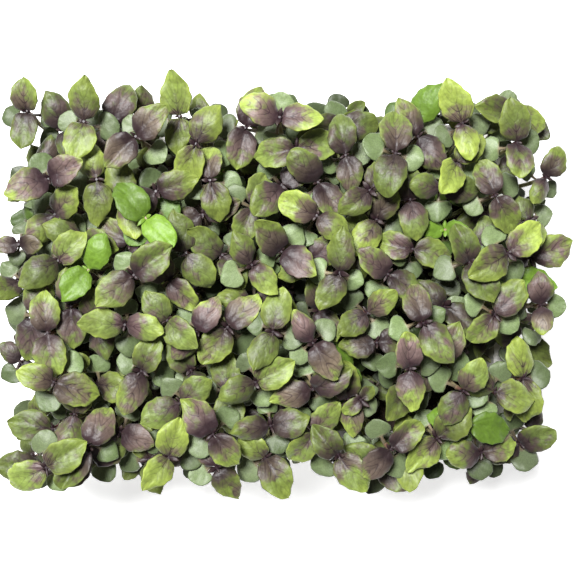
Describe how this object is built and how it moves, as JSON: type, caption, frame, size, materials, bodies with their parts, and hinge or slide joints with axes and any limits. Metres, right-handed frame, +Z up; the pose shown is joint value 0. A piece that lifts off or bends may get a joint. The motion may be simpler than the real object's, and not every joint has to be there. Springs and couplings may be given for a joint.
{
  "type": "microgreens tray",
  "caption": "Shallow tapered growing tray filled with a dense stand of purple and green basil microgreens rooted in dark growing medium.",
  "frame": {"origin": "middle of the tray's flat underside, at the surface it stands on", "axes": "+X along the tray's long side, +Y across it, +Z up through the seedlings"},
  "size_m": [0.2056, 0.1498, 0.0881],
  "materials": {
    "tray": "moulded matte",
    "medium": "moist crumbly coir",
    "foliage_mottled": "satin leaf",
    "foliage_purple": "satin leaf",
    "foliage_green": "satin leaf"
  },
  "bodies": {
    "root": {"tray": "tray", "growing_medium": "medium", "seedlings_r1_c1": "foliage_mottled", "seedlings_r1_c2": "foliage_purple", "seedlings_r1_c3": "foliage_green", "seedlings_r1_c4": "foliage_purple", "seedlings_r1_c5": "foliage_mottled", "seedlings_r1_c6": "foliage_mottled", "seedlings_r1_c7": "foliage_purple", "seedlings_r1_c8": "foliage_green", "seedlings_r1_c9": "foliage_purple", "seedlings_r2_c1": "foliage_mottled", "seedlings_r2_c2": "foliage_mottled", "seedlings_r2_c3": "foliage_purple", "seedlings_r2_c4": "foliage_green", "seedlings_r2_c5": "foliage_purple", "seedlings_r2_c6": "foliage_mottled", "seedlings_r2_c7": "foliage_mottled", "seedlings_r2_c8": "foliage_purple", "seedlings_r2_c9": "foliage_green", "seedlings_r3_c1": "foliage_purple", "seedlings_r3_c2": "foliage_mottled", "seedlings_r3_c3": "foliage_mottled", "seedlings_r3_c4": "foliage_purple", "seedlings_r3_c5": "foliage_green", "seedlings_r3_c6": "foliage_purple", "seedlings_r3_c7": "foliage_mottled", "seedlings_r3_c8": "foliage_mottled", "seedlings_r3_c9": "foliage_purple", "seedlings_r4_c1": "foliage_green", "seedlings_r4_c2": "foliage_purple", "seedlings_r4_c3": "foliage_mottled", "seedlings_r4_c4": "foliage_mottled", "seedlings_r4_c5": "foliage_purple", "seedlings_r4_c6": "foliage_green", "seedlings_r4_c7": "foliage_purple", "seedlings_r4_c8": "foliage_mottled", "seedlings_r4_c9": "foliage_mottled", "seedlings_r5_c1": "foliage_purple", "seedlings_r5_c2": "foliage_green", "seedlings_r5_c3": "foliage_purple", "seedlings_r5_c4": "foliage_mottled", "seedlings_r5_c5": "foliage_mottled", "seedlings_r5_c6": "foliage_purple", "seedlings_r5_c7": "foliage_green", "seedlings_r5_c8": "foliage_purple", "seedlings_r5_c9": "foliage_mottled", "seedlings_r6_c1": "foliage_mottled", "seedlings_r6_c2": "foliage_purple", "seedlings_r6_c3": "foliage_green", "seedlings_r6_c4": "foliage_purple", "seedlings_r6_c5": "foliage_mottled", "seedlings_r6_c6": "foliage_mottled", "seedlings_r6_c7": "foliage_purple", "seedlings_r6_c8": "foliage_green", "seedlings_r6_c9": "foliage_purple"}
  },
  "joints": []
}
